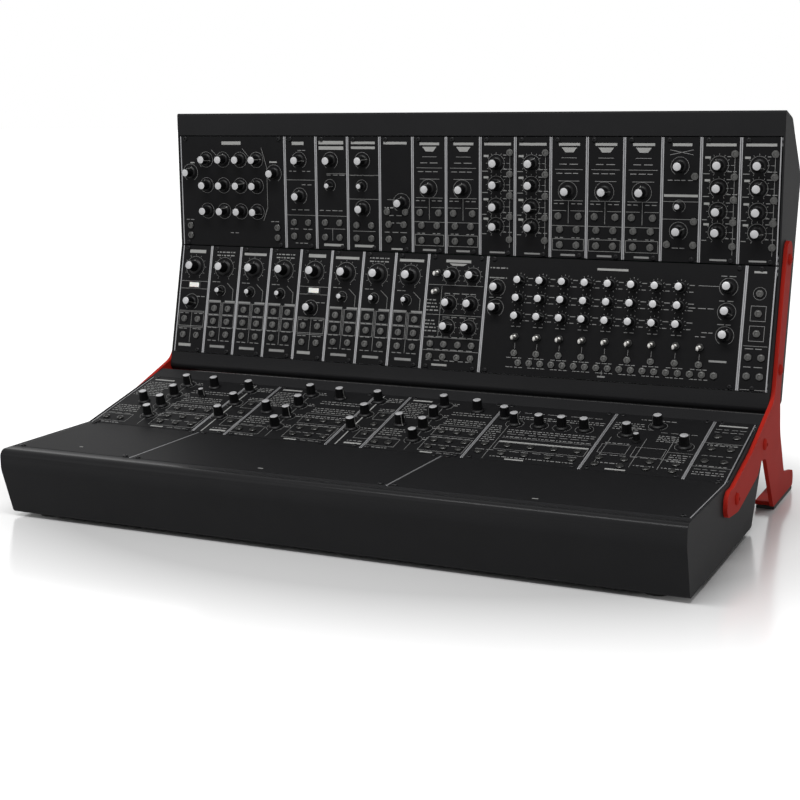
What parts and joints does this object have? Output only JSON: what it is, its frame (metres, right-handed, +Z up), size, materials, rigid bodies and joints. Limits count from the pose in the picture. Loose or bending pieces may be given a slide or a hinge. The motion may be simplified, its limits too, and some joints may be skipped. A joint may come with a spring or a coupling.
{
  "type": "modular synthesizer",
  "caption": "Modular synthesizer: rows of black panels with knobs, switches and sockets in stacked sheet steel cases, the upper case tipped back in red side legs.",
  "frame": {"origin": "on the table, under the middle of the object's outer box", "axes": "+X along the rows to the right as seen by the player, +Y to the back, +Z up"},
  "size_m": [0.7318, 0.4472, 0.4095],
  "materials": {
    "case_steel": "satin black powder coat",
    "leg_steel": "satin red powder coat",
    "panel": "black anodised",
    "rail": "satin",
    "rubber": "matt",
    "board": "matt",
    "lever": "polished",
    "white_rocker": "gloss",
    "knob": "matt black with a bright metal cap"
  },
  "bodies": {
    "frame": {"blank_panel_left": "panel", "blank_panel_middle": "panel", "blank_panel_right": "panel", "driver_module_1": "panel", "driver_module_2": "panel", "front_left_foot": "rubber", "front_right_foot": "rubber", "left_leg": "leg_steel", "left_leg_pad": "rubber", "lower_case_shell": "case_steel", "lower_dc_inlet": "knob", "lower_power_board": "board", "mixer_module": "panel", "oscillator_module_2": "panel", "oscillator_module_3": "panel", "oscillator_module_4": "panel", "oscillator_module_6": "panel", "oscillator_module_7": "panel", "oscillator_module_8": "panel", "output_module": "panel", "rear_left_foot": "rubber", "rear_right_foot": "rubber", "right_leg": "leg_steel", "right_leg_pad": "rubber", "row_a_modules": "panel", "row_b_front_rail": "rail", "row_b_rear_rail": "rail", "row_c_modules": "panel", "row_d_front_rail": "rail", "row_d_rear_rail": "rail", "sequencer_module": "panel", "upper_case_shell": "case_steel", "upper_dc_inlet": "knob", "upper_power_board": "board"},
    "level_knob_1_body": {"level_knob_1": "knob"},
    "level_knob_2_body": {"level_knob_2": "knob"},
    "level_knob_3_body": {"level_knob_3": "knob"},
    "lower_power_rocker_body": {"lower_power_rocker": "knob"},
    "mixer_switch_1_body": {"mixer_switch_1": "lever"},
    "mixer_switch_2_body": {"mixer_switch_2": "lever"},
    "range_rocker_1_body": {"range_rocker_1": "white_rocker"},
    "range_rocker_2_body": {"range_rocker_2": "white_rocker"},
    "step_switch_1_body": {"step_switch_1": "lever"},
    "step_switch_2_body": {"step_switch_2": "lever"},
    "step_switch_3_body": {"step_switch_3": "lever"},
    "step_switch_4_body": {"step_switch_4": "lever"},
    "step_switch_5_body": {"step_switch_5": "lever"},
    "step_switch_6_body": {"step_switch_6": "lever"},
    "step_switch_7_body": {"step_switch_7": "lever"},
    "step_switch_8_body": {"step_switch_8": "lever"},
    "step_switch_9_body": {"step_switch_9": "lever"},
    "tuning_knob_1_body": {"tuning_knob_1": "knob"},
    "tuning_knob_2_body": {"tuning_knob_2": "knob"},
    "tuning_knob_3_body": {"tuning_knob_3": "knob"},
    "tuning_knob_4_body": {"tuning_knob_4": "knob"},
    "tuning_knob_5_body": {"tuning_knob_5": "knob"},
    "tuning_knob_6_body": {"tuning_knob_6": "knob"},
    "tuning_knob_7_body": {"tuning_knob_7": "knob"},
    "tuning_knob_8_body": {"tuning_knob_8": "knob"},
    "upper_power_rocker_body": {"upper_power_rocker": "knob"}
  },
  "joints": [
    {"name": "level_knob_1_turn", "type": "hinge", "parent": "frame", "child": "level_knob_1_body", "pos_m": [-0.06462, 0.12882, 0.30967], "axis": [0, -1, 0], "range_deg": [-150, 150]},
    {"name": "level_knob_2_turn", "type": "hinge", "parent": "frame", "child": "level_knob_2_body", "pos_m": [-0.0315, 0.12882, 0.32574], "axis": [0, -1, 0], "range_deg": [-150, 150]},
    {"name": "level_knob_3_turn", "type": "hinge", "parent": "frame", "child": "level_knob_3_body", "pos_m": [0.00914, 0.12882, 0.32574], "axis": [0, -1, 0], "range_deg": [-150, 150]},
    {"name": "lower_power_rocker_turn", "type": "hinge", "parent": "frame", "child": "lower_power_rocker_body", "pos_m": [-0.265, 0.05285, 0.03385], "axis": [0, 0.5473, 0.837], "range_deg": [-16, 0]},
    {"name": "mixer_switch_1_turn", "type": "hinge", "parent": "frame", "child": "mixer_switch_1_body", "pos_m": [-0.01768, 0.12125, 0.23406], "axis": [1, 0, 0], "range_deg": [-28, 0]},
    {"name": "mixer_switch_2_turn", "type": "hinge", "parent": "frame", "child": "mixer_switch_2_body", "pos_m": [-0.01768, 0.11645, 0.21407], "axis": [1, 0, 0], "range_deg": [-28, 0]},
    {"name": "range_rocker_1_turn", "type": "hinge", "parent": "frame", "child": "range_rocker_1_body", "pos_m": [-0.33447, 0.11748, 0.20722], "axis": [0, 0.2334, 0.9724], "range_deg": [-16, 0]},
    {"name": "range_rocker_2_turn", "type": "hinge", "parent": "frame", "child": "range_rocker_2_body", "pos_m": [-0.17191, 0.11748, 0.20722], "axis": [0, 0.2334, 0.9724], "range_deg": [-16, 0]},
    {"name": "step_switch_1_turn", "type": "hinge", "parent": "frame", "child": "step_switch_1_body", "pos_m": [0.08047, 0.1058, 0.16971], "axis": [1, 0, 0], "range_deg": [-28, 0]},
    {"name": "step_switch_2_turn", "type": "hinge", "parent": "frame", "child": "step_switch_2_body", "pos_m": [0.10587, 0.1058, 0.16971], "axis": [1, 0, 0], "range_deg": [-28, 0]},
    {"name": "step_switch_3_turn", "type": "hinge", "parent": "frame", "child": "step_switch_3_body", "pos_m": [0.13128, 0.1058, 0.16971], "axis": [1, 0, 0], "range_deg": [-28, 0]},
    {"name": "step_switch_4_turn", "type": "hinge", "parent": "frame", "child": "step_switch_4_body", "pos_m": [0.15668, 0.1058, 0.16971], "axis": [1, 0, 0], "range_deg": [-28, 0]},
    {"name": "step_switch_5_turn", "type": "hinge", "parent": "frame", "child": "step_switch_5_body", "pos_m": [0.18208, 0.1058, 0.16971], "axis": [1, 0, 0], "range_deg": [-28, 0]},
    {"name": "step_switch_6_turn", "type": "hinge", "parent": "frame", "child": "step_switch_6_body", "pos_m": [0.20749, 0.1058, 0.16971], "axis": [1, 0, 0], "range_deg": [-28, 0]},
    {"name": "step_switch_7_turn", "type": "hinge", "parent": "frame", "child": "step_switch_7_body", "pos_m": [0.23289, 0.1058, 0.16971], "axis": [1, 0, 0], "range_deg": [-28, 0]},
    {"name": "step_switch_8_turn", "type": "hinge", "parent": "frame", "child": "step_switch_8_body", "pos_m": [0.2583, 0.1058, 0.16971], "axis": [1, 0, 0], "range_deg": [-28, 0]},
    {"name": "step_switch_9_turn", "type": "hinge", "parent": "frame", "child": "step_switch_9_body", "pos_m": [0.2837, 0.1058, 0.16971], "axis": [1, 0, 0], "range_deg": [-28, 0]},
    {"name": "tuning_knob_1_turn", "type": "hinge", "parent": "frame", "child": "tuning_knob_1_body", "pos_m": [-0.3363, 0.12258, 0.22846], "axis": [0, -0.9724, 0.2334], "range_deg": [-150, 150]},
    {"name": "tuning_knob_2_turn", "type": "hinge", "parent": "frame", "child": "tuning_knob_2_body", "pos_m": [-0.29566, 0.12258, 0.22846], "axis": [0, -0.9724, 0.2334], "range_deg": [-150, 150]},
    {"name": "tuning_knob_3_turn", "type": "hinge", "parent": "frame", "child": "tuning_knob_3_body", "pos_m": [-0.25502, 0.12258, 0.22846], "axis": [0, -0.9724, 0.2334], "range_deg": [-150, 150]},
    {"name": "tuning_knob_4_turn", "type": "hinge", "parent": "frame", "child": "tuning_knob_4_body", "pos_m": [-0.21438, 0.12258, 0.22846], "axis": [0, -0.9724, 0.2334], "range_deg": [-150, 150]},
    {"name": "tuning_knob_5_turn", "type": "hinge", "parent": "frame", "child": "tuning_knob_5_body", "pos_m": [-0.17374, 0.12258, 0.22846], "axis": [0, -0.9724, 0.2334], "range_deg": [-150, 150]},
    {"name": "tuning_knob_6_turn", "type": "hinge", "parent": "frame", "child": "tuning_knob_6_body", "pos_m": [-0.1331, 0.12258, 0.22846], "axis": [0, -0.9724, 0.2334], "range_deg": [-150, 150]},
    {"name": "tuning_knob_7_turn", "type": "hinge", "parent": "frame", "child": "tuning_knob_7_body", "pos_m": [-0.09246, 0.12258, 0.22846], "axis": [0, -0.9724, 0.2334], "range_deg": [-150, 150]},
    {"name": "tuning_knob_8_turn", "type": "hinge", "parent": "frame", "child": "tuning_knob_8_body", "pos_m": [-0.05182, 0.12258, 0.22846], "axis": [0, -0.9724, 0.2334], "range_deg": [-150, 150]},
    {"name": "upper_power_rocker_turn", "type": "hinge", "parent": "frame", "child": "upper_power_rocker_body", "pos_m": [-0.265, 0.19727, 0.36625], "axis": [0, -0.6861, 0.7275], "range_deg": [-16, 0]}
  ]
}
